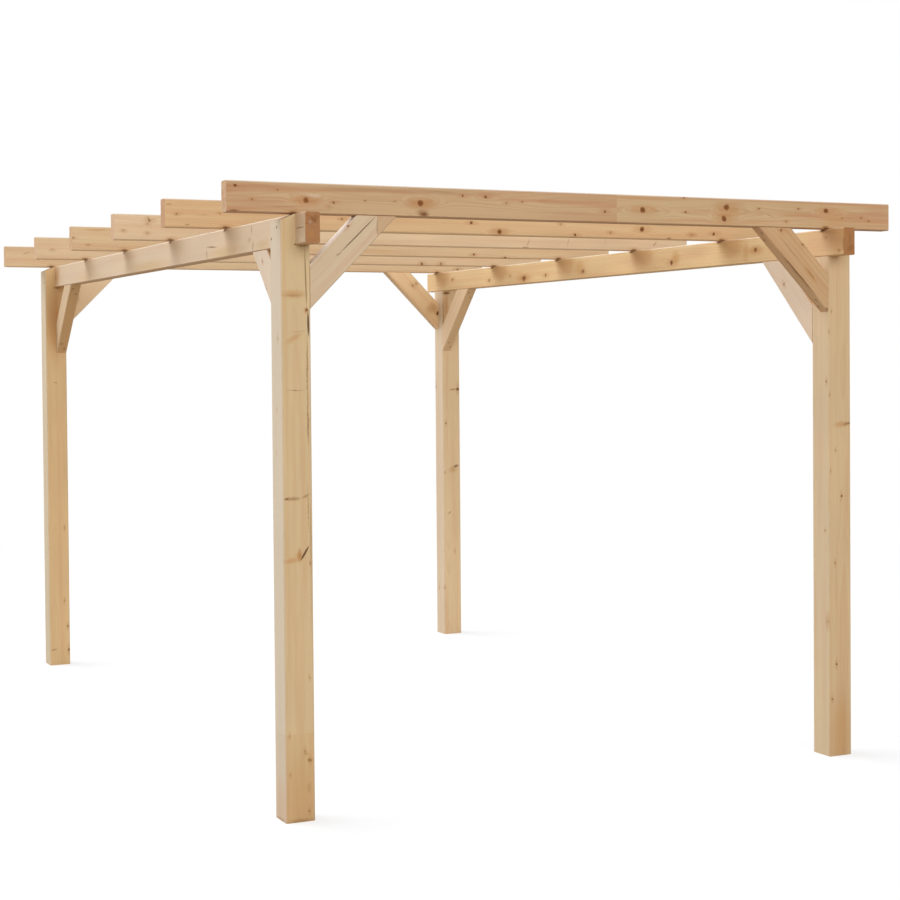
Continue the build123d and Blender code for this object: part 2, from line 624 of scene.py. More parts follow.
def colour_sound_wood(wood, contrast, heart, end_share):
    ring_strength = wood.scaled(wood.end_face, 0.30, 0.62 * contrast)
    wood.colour = wood.blend(wood.times(wood.late, ring_strength), EARLY_WOOD, LATE_WOOD)
    wood.paint(wood.rise(wood.broad, 0.42, 0.72, 0.0, heart), HEART_TINT)
    shade = wood.scaled(wood.streaks, 0.18 * contrast, 1.0 - 0.09 * contrast)
    shade = wood.times(shade, wood.scaled(wood.fibres, 0.08, 0.96))
    shade = wood.times(shade, wood.scaled(wood.clouds, 0.18, 0.91))
    wood.paint(1.0, wood.grey(shade), "MULTIPLY")
    wood.paint(wood.times(wood.end_face, end_share), END_BROWN)


def tone_timber(wood, tone, joint, left_tone):
    """The timber's own tone, another beyond its joint, and painted light and shade on its left side."""
    plain = opaque((1, 1, 1))
    wood.paint(1.0, opaque(tone), "MULTIPLY")
    if joint:
        wood.paint(1.0, wood.blend(wood.beyond_joint, plain, opaque(joint[1])), "MULTIPLY")
    # painted light and shade: a tone for the left side only
    if left_tone:
        on_left = wood.rise(wood.leftward, 0.5, 0.95)
        wood.paint(1.0, wood.blend(on_left, plain, opaque(left_tone)), "MULTIPLY")


print("sound wood is ready")

# %% [markdown]
# ## Painted light and shade
# Left sides and tops are painted paler as painted light, undersides browner as painted
# shade, and the eased edges palest of all as a painted highlight. Only the way a surface
# looks decides this, so no timber needs a mask.

# %% Paint light and shade on the wood
def paint_light_and_shade(wood, bleach, top, under):
    # painted light: left sides paler
    wood.paint(wood.rise(wood.leftward, 0.5, 0.95, 0.0, 0.45 * bleach), PAINTED_LEFT_LIGHT)
    # painted light: tops paler
    wood.paint(wood.rise(wood.upward, 0.35, 0.75, 0.0, top), PALE_CREAM)
    # painted shade: undersides browner
    wood.paint(wood.rise(wood.upward, -0.35, -0.75, 0.0, under), PAINTED_UNDER_SHADE)
    # painted highlight: the eased edges palest, most where they face up
    wood.paint(wood.times(wood.arris, wood.rise(wood.upward, 0.2, 0.6, 0.08, 0.40)), PALE_CREAM)


print("weather is ready")

# %% [markdown]
# ## Painting the knots
# The wood beside a knot is rich in resin and more orange, the knot is brown with rings
# of its own, and its heart is dark. The notes name the knots on left and front faces,
# and a Voronoi texture scatters a few by chance on the others.

# %% Paint the knots
CHANCE_CELLS = Vector((3.2, 8.0, 8.0))


def paint_knots(wood):
    wood.paint(wood.halo, HALO_ORANGE)
    knot_rings = wood.maths("FRACT", wood.times(wood.knot_near, 3.3))
    wood.knot_colour = wood.blend(wood.times(knot_rings, 0.3), KNOT_BROWN, KNOT_DARK)
    wood.paint(wood.times(wood.in_knot, 0.8), wood.knot_colour)
    wood.paint(wood.knot_dark, KNOT_DARK)


def paint_chance_knots(wood):
    """Small knots at random places of the faces towards the back, the right and the top."""
    cells = wood.vector("MULTIPLY", wood.seeded, CHANCE_CELLS)
    middles = wood.node("TexVoronoi", Vector=cells, Scale=1.0).outputs["Position"]
    apart = wood.vector("SUBTRACT", cells, middles)
    apart = wood.vector("MULTIPLY", apart, [1 / count for count in CHANCE_CELLS])
    distance = wood.vector("LENGTH", wood.moved(apart, wood.fine, 0.004))
    hidden = wood.rise(wood.along(wood.normal, (1, 1, 1)), 0.5, 0.9)
    beside = wood.times(wood.rise(distance, 0.022, 0.008), hidden)
    inside = wood.times(wood.rise(distance, 0.0085, 0.0065), hidden)
    wood.paint(wood.times(beside, 0.25), HALO_ORANGE)
    wood.paint(wood.times(inside, 0.85), wood.knot_colour)


print("one chance knot in", round(1 / CHANCE_CELLS.x, 2), "m of a hidden face, at most")

# %% [markdown]
# ## Marks
# A mark is a flat patch on a face: a streak of resin, a stain, a patch of painted shade
# under or beside another timber or, when it is long and very thin, a crack. A Mapping
# node gives each its own little frame, so that any number of them can lie on a timber.

# %% Paint the marks
MARK_DEPTH = 0.012
SCREW_RING = 0.020
# Some dark, brown and orange marks, and every yellow one, are painted shade.
TINTS = {"yellow": (from_screen(206, 172, 112), 0.5), "orange": (from_screen(198, 142, 82), 0.6),
         "brown": (from_screen(136, 88, 46), 0.6), "rose": (from_screen(200, 148, 118), 0.6),
         "pale": (PALE_CREAM, 0.6), "dark": (KNOT_DARK, 0.85), "crack": (from_screen(78, 44, 22), 0.9)}


def patch_shape(wood, vector, place, way, normal, length, width, softness):
    """1 in the middle of a patch on a surface and 0 outside it."""
    axes = Matrix([wood.timber.axes @ axis for axis in (way, normal, way.cross(normal))])
    near = wood.place(vector, wood.timber.inside(place), axes.transposed().to_euler("XYZ"),
                      (length / 2, MARK_DEPTH, width / 2))
    return wood.rise(wood.vector("LENGTH", near), 1.0, 1.0 - softness)


def mark_shapes(wood, kind, faces, vector, softness):
    """The marks of that kind on the timber's faces, each as strong as its force."""
    found = []
    for face, shown in faces:
        level, normal = (ASIDE, AHEAD) if face == "front" else (AHEAD, ASIDE)
        for along, height, length, width, force, *angle in shown.get(kind, ()):
            tilt = math.radians(angle[0] if angle else 0)
            way = level * math.cos(tilt) + UP * math.sin(tilt)
            place = wood.timber.on_face(face, along, height)
            patch = patch_shape(wood, vector, place, way, normal, length, width, softness)
            found.append(wood.times(patch, force))
    return found


def screw_rings(wood, force):
    """The stain round each screw."""
    found = []
    for place, outward in SCREWS.get(wood.name, ()):
        level = AHEAD if abs(outward.y) < 0.5 else ASIDE
        patch = patch_shape(wood, wood.waving, place, level, outward, SCREW_RING, SCREW_RING, 0.7)
        found.append(wood.times(patch, force))
    return found


def paint_marks(wood, faces, screw_stain):
    """Every kind of mark in turn, in its own tint."""
    for kind, (tint, strength) in TINTS.items():
        vector, softness = (wood.steady, 0.5) if kind == "crack" else (wood.waving, 0.9)
        patches = mark_shapes(wood, kind, faces, vector, softness)
        patches += mark_shapes(wood, kind, contact_shadow_marks(wood.name), wood.waving, 0.7)
        if kind == "brown":
            patches += screw_rings(wood, screw_stain)
        cover = wood.extreme("MAXIMUM", patches)
        if patches:
            wood.paint(wood.times(cover, strength), tint)
        if kind == "crack":
            wood.crack = cover


print("kinds of mark:", ", ".join(TINTS))

# %% [markdown]
# ## Shine and relief
# A planer leaves bare wood satin. Late wood and knots shine more, and ends are rougher.
# The same patterns stand a tenth of a millimetre proud, and a crack sinks in, which
# Bump shows in the light without moving any face.

# %% Finish the wood
def finish_wood(wood):
    """Roughness and relief, joined with the colour into the finished material."""
    rough = wood.scaled(wood.streaks, 0.12, 0.56)
    rough = wood.scaled(wood.late, -0.08, rough)
    rough = wood.scaled(wood.in_knot, -0.12, rough)
    rough = wood.maths("MULTIPLY_ADD", wood.end_face, 0.15, rough, clamp=True)
    height = wood.times(wood.late, 0.00008)
    height = wood.scaled(wood.fibres, 0.00012, height)
    height = wood.scaled(wood.streaks, 0.00015, height)
    height = wood.scaled(wood.in_knot, 0.00025, height)
    height = wood.scaled(wood.crack, -0.0015, height)
    bump = wood.node("Bump", Height=height, Distance=1.0, Strength=0.8)
    planed = wood.node("BsdfPrincipled", Roughness=rough, Normal=bump.outputs[0])
    wood.feed(planed.inputs["Base Color"], wood.colour)
    planed.inputs["Specular IOR Level"].default_value = 0.35
    wood.node("OutputMaterial", Surface=planed.outputs[0])


print("shine and relief are ready")

# %% [markdown]
# ## Planed softwood
# One recipe makes every timber's wood, and what it is given makes each one its own:
# tone, place of the pith (v and w), how much painted light it gets on the left and on
# top and how much painted shade underneath, a tone of painted light and shade for its
# left side, how clear its rings and heart are, how brown its ends, a joint's place with
# the tone beyond it, and the knots and marks face by face.

# %% The whole recipe
def planed_wood(name, tone, pith, contrast, bleach=0.0, top=0.15, under=0.25, heart=0.3, end_share=0.3,
                left_tone=None, joint=None, screw_stain=0.25, faces=()):
    wood = Wood(name)
    lay_grain(wood, joint)
    grow_knots(wood, pith, faces)
    draw_rings(wood, pith)
    draw_fibres(wood)
    find_faces(wood)
    colour_sound_wood(wood, contrast, heart, end_share)
    tone_timber(wood, tone, joint, left_tone)
    paint_light_and_shade(wood, bleach, top, under)
    paint_knots(wood)
    paint_chance_knots(wood)
    paint_marks(wood, faces, screw_stain)
    finish_wood(wood)
    return wood.owner


print("the recipe is ready")

# %% [markdown]
# ## Each timber's own wood
# The notes are in metres, in the pergola's frame, and front and left hold what shows on
# those faces. A knot is its place (x or y, then z), its radius and darkness, sometimes
# with the strength of its halo. A mark is its place, length, width and force, and its
# angle unless level. The posts have long thin stains and cracks that run up the grain.

# %% Notes for the posts
WOOD = {}


def front(**shown):
    return "front", shown


def left(**shown):
    return "left", shown


WOOD["post_front_left"] = dict(
    tone=(0.95, 0.97, 0.93), pith=(0.01, 0.045), bleach=1.0, contrast=0.16, left_tone=(0.9, 0.93, 0.95),
    joint=(0.345, (1.03, 1.07, 1.12)),
    faces=[front(
        knots=[(-1.27, 0.274, 0.004, 0.25), (-1.25, 0.239, 0.005, 0.25), (-1.249, 0.56, 0.003, 0.25),
            (-1.333, 0.339, 0.003, 0.15), (-1.331, 0.188, 0.003, 0.25), (-1.254, 0.041, 0.004, 0.4),
            (-1.242, 1.005, 0.003, 0.5), (-1.284, 1.038, 0.005, 0.2, 0.6)],
        brown=[(-1.3, 2.044, 0.125, 0.018, 0.5), (-1.285, 1.905, 0.09, 0.01, 0.4, 5),
            (-1.297, 1.678, 0.11, 0.008, 0.7), (-1.31, 1.259, 0.09, 0.022, 0.9, -3),
            (-1.257, 1.268, 0.055, 0.014, 0.9, 25), (-1.245, 1.7, 0.5, 0.009, 0.85, 90),
            (-1.247, 1.23, 0.26, 0.007, 0.9, 90), (-1.239, 0.84, 0.28, 0.005, 0.6, 90),
            (-1.29, 0.004, 0.16, 0.03, 0.7), (-1.25, 0.238, 0.036, 0.022, 0.9),
            (-1.263, 0.264, 0.022, 0.016, 0.6), (-1.255, 0.13, 0.03, 0.06, 0.4),
            (-1.238, 1.08, 0.5, 0.007, 0.9, 90)],
        orange=[(-1.3, 2.05, 0.14, 0.05, 0.9), (-1.3, 1.88, 0.12, 0.035, 0.7, 28),
            (-1.315, 1.02, 0.1, 0.035, 0.9, 8), (-1.285, 1.036, 0.05, 0.05, 0.9),
            (-1.25, 1.985, 0.03, 0.04, 0.9), (-1.29, 0.06, 0.2, 0.62, 0.65)],
        dark=[(-1.297, 1.678, 0.02, 0.008, 0.7), (-1.335, 1.259, 0.028, 0.014, 0.9),
            (-1.247, 1.988, 0.018, 0.024, 1.0), (-1.245, 1.79, 0.26, 0.009, 0.45, 89),
            # the dark marks at z 2.2365 and z 2.241 are painted shadow under the purlin's end
            (-1.245, 1.54, 0.2, 0.01, 0.8, 90), (-1.262, 2.2365, 0.075, 0.007, 0.9),
            (-1.292, 2.241, 0.014, 0.01, 0.9)],
        crack=[(-1.263, 1.046, 0.08, 0.011, 0.95, 58), (-1.249, 2.113, 0.28, 0.007, 0.65, 91.6),
            (-1.24, 1.935, 0.12, 0.01, 1.0, 91)],
        pale=[(-1.237, 1.85, 0.85, 0.01, 0.35, 90)]),
    left(
        knots=[(-2.057, 1.878, 0.004, 0.2), (-2.043, 1.602, 0.003, 0.2), (-2.029, 1.435, 0.003, 0.2)],
        orange=[(-2.04, 0.04, 0.2, 0.38, 0.4)],
        brown=[(-2.04, 0.004, 0.15, 0.03, 0.6)])])
WOOD["post_front_right"] = dict(
    tone=(0.96, 1.0, 1.03), pith=(0.02, 0.05), bleach=0.5, contrast=0.25, left_tone=(1.0, 0.98, 0.88),
    faces=[front(
        knots=[(1.245, 1.994, 0.003, 0.2), (1.231, 1.903, 0.003, 0.3), (1.235, 1.622, 0.003, 0.3),
            (1.265, 1.373, 0.003, 0.3), (1.24, 1.282, 0.003, 0.25), (1.298, 1.167, 0.005, 0.6),
            (1.261, 0.868, 0.004, 0.3), (1.269, 0.414, 0.005, 0.6), (1.246, 0.258, 0.004, 0.5)],
        brown=[(1.328, 1.492, 0.06, 0.02, 1.0, 12)],
        orange=[(1.3, 1.49, 0.12, 0.04, 1.0, 3), (1.29, 0.1, 0.16, 0.6, 0.8),
            # the orange mark at z 2.25 is painted shade under the purlin
            (1.28, 2.25, 0.14, 0.06, 0.7)],
        dark=[(1.343, 1.495, 0.024, 0.014, 0.7, 10)]),
    left(knots=[(-2.082, 1.68, 0.004, 0.6), (-2.072, 1.014, 0.003, 0.5), (-2.088, 0.606, 0.007, 0.1)])])
WOOD["post_back_left"] = dict(
    tone=(1.07, 1.07, 1.0), pith=(-0.02, 0.05), bleach=0.3, contrast=0.2, left_tone=(0.8, 0.92, 1.1),
    faces=[front(
        knots=[(-1.253, 0.813, 0.004, 0.3), (-1.259, 0.38, 0.004, 0.25), (-1.243, 0.229, 0.005, 0.5),
            (-1.236, 0.087, 0.007, 0.6)],
        # the brown marks at z 2.236 and z 2.12 are painted shade under the purlin
        brown=[(-1.325, 0.092, 0.055, 0.014, 1.0, 12), (-1.282, 2.236, 0.08, 0.028, 1.0),
            (-1.298, 1.675, 0.034, 0.01, 1.0, -12), (-1.3, 2.12, 0.17, 0.55, 0.3)],
        orange=[(-1.29, 2.04, 0.17, 0.66, 1.0), (-1.3, 2.15, 0.14, 0.4, 0.6)])])
WOOD["post_back_right"] = dict(
    tone=(1.15, 1.22, 1.29), pith=(-0.03, 0.04), bleach=0.3, contrast=0.2, left_tone=(0.84, 0.86, 0.93),
    faces=[front(
        knots=[(1.336, 1.601, 0.008, 0.8), (1.249, 1.379, 0.005, 0.6)],
        # the upright brown and orange marks near x 1.24 and the dark one at z 2.226 are painted shade
        # under the purlin
        brown=[(1.302, 1.598, 0.06, 0.014, 0.6, 5), (1.24, 1.058, 0.03, 0.03, 0.5, 30),
            (1.27, 0.794, 0.045, 0.014, 1.0, 35), (1.236, 2.07, 0.34, 0.018, 1.0, 90)],
        orange=[(1.302, 1.598, 0.08, 0.022, 1.0, 5), (1.255, 2.14, 0.2, 0.07, 0.9, 90),
            (1.295, 1.075, 0.09, 0.06, 0.8, 10)],
        dark=[(1.26, 2.226, 0.08, 0.024, 1.0), (1.32, 1.098, 0.056, 0.024, 1.0, 18)]),
    left(knots=[(2.085, 1.617, 0.005, 0.8), (2.06, 0.296, 0.004, 0.4)]),
    front(knots=[(1.234, 0.306, 0.004, 0.4), (1.307, 0.539, 0.004, 0.2)])])
print("timbers noted:", len(WOOD))

# %% [markdown]
# The purlins show their left faces, and their front ends show end grain, where stains
# soak in deepest. The left purlin's face is painted yellower along its lower half and
# warmer by the back post, as painted shade.

# %% Notes for the purlins
WOOD["purlin_left"] = dict(
    tone=(1.03, 1.03, 1.0), pith=(0.09, 0.05), bleach=0.8, contrast=0.3, end_share=0.7,
    left_tone=(0.94, 0.91, 0.88), under=0.5,
    faces=[left(
        knots=[(-1.554, 2.293, 0.004, 0.2)],
        crack=[(-2.15, 2.302, 0.11, 0.004, 0.8)],
        # the upright dark mark at y 1.966 is painted shadow in the corner by the back post's cheek
        dark=[(-1.045, 2.294, 0.2, 0.011, 1.0, 3), (1.966, 2.3, 0.12, 0.014, 0.9, 90)],
        brown=[(-0.972, 2.266, 0.065, 0.022, 1.0, 85), (-1.584, 2.334, 0.05, 0.022, 0.9, 90),
            (-1.6, 2.264, 0.065, 0.022, 0.9, 100)],
        # the yellow bands along the lower half are painted shade; the orange patch at y 1.93 is painted
        # shade by the back post
        yellow=[(-1.25, 2.262, 0.75, 0.09, 1.0), (-1.72, 2.262, 0.25, 0.07, 0.9),
            (0.0, 2.262, 1.1, 0.08, 1.0), (1.2, 2.265, 0.8, 0.08, 0.8)],
        orange=[(1.93, 2.3, 0.18, 0.2, 1.0)]),
    front(
        brown=[(-1.262, 2.33, 0.06, 0.05, 0.6), (-1.25, 2.336, 0.04, 0.05, 0.9, -50),
            (-1.278, 2.346, 0.022, 0.014, 0.9), (-1.26, 2.302, 0.06, 0.004, 0.7)],
        dark=[(-1.283, 2.313, 0.011, 0.01, 0.7), (-1.256, 2.33, 0.05, 0.008, 0.9, -50)],
        pale=[(-1.27, 2.322, 0.014, 0.022, 0.4)],
        orange=[(-1.265, 2.275, 0.05, 0.05, 0.7)])])
WOOD["purlin_right"] = dict(
    tone=(1.04, 1.03, 0.93), pith=(0.07, 0.06), bleach=0.0, contrast=0.5, end_share=0.74,
    faces=[left(
        knots=[(-1.541, 2.302, 0.009, 0.9), (-2.084, 2.323, 0.004, 0.5), (-2.177, 2.262, 0.004, 0.5),
            (1.821, 2.307, 0.008, 0.6), (1.291, 2.28, 0.008, 0.6), (-0.8, 2.28, 0.009, 0.8),
            (0.828, 2.272, 0.012, 0.9), (0.557, 2.277, 0.008, 0.6), (0.119, 2.276, 0.008, 0.6),
            (1.008, 2.294, 0.006, 0.3)],
        orange=[(-1.541, 2.3, 0.2, 0.07, 0.7), (-1.72, 2.285, 0.22, 0.05, 0.5),
            (-0.84, 2.3, 0.12, 0.11, 0.9), (0.16, 2.3, 0.2, 0.12, 0.8), (-1.46, 2.3, 0.09, 0.14, 0.8),
            (0.84, 2.275, 0.35, 0.09, 0.8)],
        dark=[(0.829, 2.273, 0.085, 0.04, 1.0), (0.119, 2.28, 0.055, 0.028, 0.8),
            (-0.8, 2.281, 0.045, 0.026, 0.8), (-1.541, 2.302, 0.04, 0.026, 0.8)],
        brown=[(0.557, 2.279, 0.035, 0.018, 0.8), (1.239, 2.335, 0.06, 0.016, 0.8)],
        rose=[(-2.05, 2.3, 0.5, 0.14, 0.6), (-0.45, 2.31, 0.5, 0.09, 0.5), (-1.05, 2.32, 0.4, 0.08, 0.5)]),
    front(
        dark=[(1.232, 2.3, 0.006, 0.12, 0.8)],
        brown=[(1.262, 2.3, 0.018, 0.12, 0.6), (1.268, 2.27, 0.04, 0.06, 0.8, -60)])])
print("timbers noted:", len(WOOD))

# %% [markdown]
# The first rafter shows its whole front face, so it has the most notes: a row of
# knots, and the finger joint at which its tone changes.

# %% Notes for the rafters
WOOD["rafter_1"] = dict(
    tone=(0.865, 0.845, 0.855), pith=(0.06, 0.03), contrast=0.55, heart=0.75, end_share=0.1, under=0.6,
    left_tone=(1.07, 1.13, 1.22), joint=(0.144, (1.03, 1.06, 1.04)),
    faces=[front(
        knots=[(-1.532, 2.461, 0.006, 1.0), (-1.36, 2.448, 0.003, 0.6),
            (-1.244, 2.413, 0.011, 0.65, 0.55), (-1.13, 2.409, 0.005, 0.55), (-0.998, 2.418, 0.003, 0.5),
            (-1.152, 2.391, 0.004, 0.1), (-1.464, 2.41, 0.004, 0.4), (-0.87, 2.421, 0.003, 0.4),
            (-0.759, 2.416, 0.012, 0.8, 0.6), (-0.47, 2.449, 0.007, 0.9), (-0.375, 2.427, 0.004, 0.4),
            (-0.304, 2.435, 0.004, 0.5), (0.087, 2.406, 0.006, 0.55), (-0.573, 2.45, 0.005, 0.7),
            (0.269, 2.418, 0.012, 0.8), (0.483, 2.414, 0.004, 0.7), (0.691, 2.441, 0.013, 1.0, 0.4),
            (0.679, 2.393, 0.011, 0.9, 0.4), (0.475, 2.476, 0.004, 0.8), (0.86, 2.44, 0.004, 0.6),
            (1.07, 2.444, 0.004, 0.7), (1.003, 2.388, 0.004, 0.4), (1.218, 2.44, 0.011, 0.9),
            (1.306, 2.408, 0.003, 0.5), (1.453, 2.401, 0.004, 0.5), (1.411, 2.414, 0.005, 0.35)],
        dark=[(-0.744, 2.37, 0.06, 0.026, 1.0), (-1.535, 2.366, 0.06, 0.014, 0.9),
            (1.216, 2.366, 0.055, 0.022, 1.0)],
        # the two long thin brown marks at z 2.362 are painted shade along the bottom edge
        brown=[(-0.75, 2.378, 0.08, 0.04, 0.9), (-0.9, 2.462, 1.4, 0.03, 0.4),
            (-1.25, 2.374, 0.35, 0.01, 0.4), (-0.75, 2.362, 1.7, 0.008, 0.7),
            (0.75, 2.362, 1.2, 0.008, 0.55), (-1.525, 2.462, 0.045, 0.008, 0.8, -20),
            (-1.33, 2.385, 0.24, 0.01, 0.5, 2), (0.913, 2.414, 0.08, 0.007, 0.6, -20),
            (0.78, 2.432, 0.16, 0.005, 0.6, -8), (1.34, 2.412, 0.16, 0.006, 0.5, -6),
            (-0.66, 2.464, 0.2, 0.008, 0.7)],
        orange=[(1.26, 2.39, 0.16, 0.08, 0.4), (0.69, 2.42, 0.16, 0.08, 0.4),
            (0.325, 2.42, 0.05, 0.014, 1.0)],
        rose=[(1.5, 2.44, 0.22, 0.12, 0.8), (-0.45, 2.455, 1.0, 0.022, 0.6),
            (-0.1, 2.395, 0.4, 0.02, 0.7), (-0.8, 2.459, 0.36, 0.018, 0.8)],
        pale=[(-1.21, 2.432, 0.12, 0.022, 0.4)])])
WOOD["rafter_2"] = dict(
    tone=(1.06, 1.05, 1.03), pith=(0.07, -0.09), contrast=0.5, left_tone=(0.92, 0.87, 0.94),
    faces=[front(
        knots=[(-0.134, 2.413, 0.006, 0.8), (0.01, 2.375, 0.01, 0.8, 0.5), (0.406, 2.37, 0.006, 0.8),
            (0.596, 2.385, 0.005, 0.3), (0.329, 2.418, 0.004, 0.3), (0.769, 2.404, 0.01, 0.9),
            (1.174, 2.392, 0.007, 0.9), (1.049, 2.384, 0.006, 0.2, 0.5), (-1.514, 2.416, 0.004, 0.3),
            (-0.765, 2.414, 0.005, 0.4), (-1.327, 2.425, 0.003, 0.3)],
        dark=[(0.919, 2.365, 0.04, 0.012, 0.9)],
        brown=[(-1.549, 2.456, 0.036, 0.01, 1.0), (-1.4, 2.415, 0.09, 0.012, 0.3),
            (-1.468, 2.372, 0.036, 0.009, 1.0)])])
WOOD["rafter_3"] = dict(
    tone=(1.12, 1.21, 1.41), pith=(0.06, 0.09), contrast=0.5,
    faces=[front(
        knots=[(-1.4, 2.453, 0.006, 0.35), (-1.409, 2.436, 0.004, 0.25), (-1.525, 2.403, 0.004, 0.2),
            (-1.41, 2.394, 0.004, 0.15)],
        brown=[(0.594, 2.39, 0.08, 0.012, 0.6, 68), (0.826, 2.4, 0.08, 0.01, 0.5, 75),
            (1.05, 2.4, 0.05, 0.008, 0.5, 80), (1.352, 2.398, 0.048, 0.014, 0.9, 50),
            (-1.402, 2.458, 0.045, 0.012, 0.9, 108), (-1.522, 2.405, 0.03, 0.01, 0.5, 115)],
        dark=[(0.575, 2.364, 0.06, 0.01, 0.7)])])
WOOD["rafter_4"] = dict(
    tone=(1.06, 1.11, 1.18), pith=(0.07, -0.08), contrast=0.5,
    faces=[front(
        knots=[(0.685, 2.378, 0.006, 0.8), (0.882, 2.362, 0.006, 0.8), (-1.56, 2.421, 0.004, 0.4),
            (-1.486, 2.387, 0.004, 0.3)],
        orange=[(-1.44, 2.465, 0.2, 0.016, 0.9)])])
WOOD["rafter_5"] = dict(
    tone=(1.1, 1.18, 1.34), pith=(0.06, 0.09), contrast=0.45,
    faces=[front(
        knots=[(0.74, 2.366, 0.006, 0.8), (0.866, 2.37, 0.006, 0.4), (-1.478, 2.412, 0.004, 0.15)])])
WOOD["rafter_6"] = dict(
    tone=(1.08, 1.14, 1.24), pith=(0.06, -0.07), contrast=0.45,
    faces=[front(
        knots=[(1.115, 2.414, 0.007, 0.45), (1.254, 2.413, 0.007, 0.35), (1.37, 2.385, 0.007, 0.45)],
        brown=[(-1.448, 2.442, 0.06, 0.008, 0.9, 15)])])
print("timbers noted:", len(WOOD))

# %% [markdown]
# The braces are cut from other boards, so their tones differ most. The front left one
# has a long drying crack, and the front right one is dark.

# %% Notes for the braces
WOOD["cross_brace_front_left"] = dict(
    # top gives a painted highlight on its upper face; its joint is no finger joint but a hairline near the
    # top tip, with the tip beyond it darker
    tone=(0.96, 1.07, 1.28), pith=(0.05, 0.06), contrast=0.35, top=1.0, joint=(-0.947, (0.88, 0.76, 0.68)),
    faces=[front(
        knots=[(-1.071, 2.317, 0.005, 0.5)],
        crack=[(-1.027, 2.286, 0.26, 0.006, 0.85, 43.7), (-0.947, 2.316, 0.074, 0.003, 0.7, 90)],
        brown=[(-1.112, 2.206, 0.034, 0.012, 1.0, 25)])])
WOOD["cross_brace_front_right"] = dict(
    tone=(0.89, 0.85, 0.82), pith=(0.06, 0.05), contrast=1.0, heart=0.8, under=0.0,
    faces=[front(
        knots=[(0.975, 2.347, 0.005, 0.5), (1.093, 2.288, 0.004, 0.6)],
        dark=[(1.06, 2.165, 0.42, 0.014, 0.9, -44), (1.222, 2.002, 0.02, 0.03, 0.9),
            (0.962, 2.25, 0.13, 0.014, 0.8, -43)],
        brown=[(1.136, 2.156, 0.11, 0.012, 0.9, -50), (1.03, 2.262, 0.26, 0.01, 0.7, -46)],
        orange=[(1.13, 2.16, 0.16, 0.035, 0.8, -48)])])
WOOD["cross_brace_back_left"] = dict(
    tone=(1.33, 1.44, 1.66), pith=(0.05, 0.05), contrast=0.2, heart=0.0,
    faces=[front(
        orange=[(-1.148, 2.175, 0.05, 0.05, 0.6)],
        brown=[(-0.945, 2.345, 0.03, 0.012, 0.8, -45)])])
WOOD["cross_brace_back_right"] = dict(
    tone=(1.27, 1.32, 1.37), pith=(0.05, 0.04), contrast=0.4,
    faces=[front(
        knots=[(1.225, 2.097, 0.009, 1.0), (1.046, 2.273, 0.005, 0.35), (1.071, 2.287, 0.004, 0.3)],
        orange=[(1.18, 2.13, 0.13, 0.1, 0.8, 45)])])
WOOD["side_brace_front_left"] = dict(
    tone=(1.1, 1.1, 1.1), pith=(0.05, 0.05), bleach=1.2, contrast=0.3,
    faces=[left(knots=[(-1.716, 2.195, 0.004, 0.7), (-1.755, 2.08, 0.006, 0.9)])])
WOOD["side_brace_front_right"] = dict(
    tone=(1.13, 1.15, 1.18), pith=(0.05, 0.05), bleach=1.1, contrast=0.3,
    faces=[left(knots=[(-1.767, 2.127, 0.005, 0.4)])])
WOOD["side_brace_back_left"] = dict(
    tone=(1.01, 0.96, 0.87), pith=(0.05, 0.05), bleach=0.4, contrast=0.3, left_tone=(0.89, 0.91, 0.92),
    screw_stain=0.8)
WOOD["side_brace_back_right"] = dict(
    tone=(1.06, 1.06, 1.06), pith=(0.05, 0.05), bleach=0.3, contrast=0.3, under=0.0)
print("timbers noted:", len(WOOD))

# %% [markdown]
# ## Wood for every timber
# The materials are made in the order of the names, so each run gives the same wood.

# %% Give every timber its wood
for name, timber in sorted(timbers.items()):
    timber.data.materials.clear()
    timber.data.materials.append(planed_wood(name, **WOOD[name]))
shader_nodes = sum(len(timber.active_material.node_tree.nodes) for timber in timbers.values())
print(shader_nodes, "shader nodes on", len(timbers), "timbers")

# %% [markdown]
# ## The heads of the screws
# A head is a countersunk disc with a six-pointed star for the driver, hardly proud of
# the wood. A low cylinder's top is inset, every other corner of the inner ring is
# pulled in to make the star, and the star is pushed down. The rim is bevelled.

# %% Model one screw head
HEAD_RADIUS = 0.0052
HEAD_RISE = 0.0009
HEAD_SUNK = 0.0030
RIM_WIDTH = 0.0022
VALLEY_SHARE = 0.68
RECESS_DEPTH = 0.0010
RIM_BEVEL = 0.0006
NEARLY_NOTHING = 0.0001


def choose(mesh, kind, test):
    """Select the vertices, edges or faces that pass the test, and nothing else."""
    bpy.ops.object.mode_set(mode="EDIT")
    bpy.ops.mesh.select_mode(type=kind)
    bpy.ops.mesh.select_all(action="DESELECT")
    bpy.ops.object.mode_set(mode="OBJECT")
    for part in {"VERT": mesh.vertices, "EDGE": mesh.edges, "FACE": mesh.polygons}[kind]:
        part.select = test(part)
    bpy.ops.object.mode_set(mode="EDIT")


bpy.ops.object.select_all(action="DESELECT")
bpy.ops.mesh.primitive_cylinder_add(vertices=12, radius=HEAD_RADIUS, depth=HEAD_RISE + HEAD_SUNK,
                                    location=(0, 0, (HEAD_RISE - HEAD_SUNK) / 2))
head = bpy.context.active_object
bpy.ops.object.transform_apply(location=True, rotation=True, scale=True)
choose(head.data, "FACE", lambda face: face.normal.z > 0.9)
bpy.ops.mesh.inset(thickness=RIM_WIDTH, depth=0)

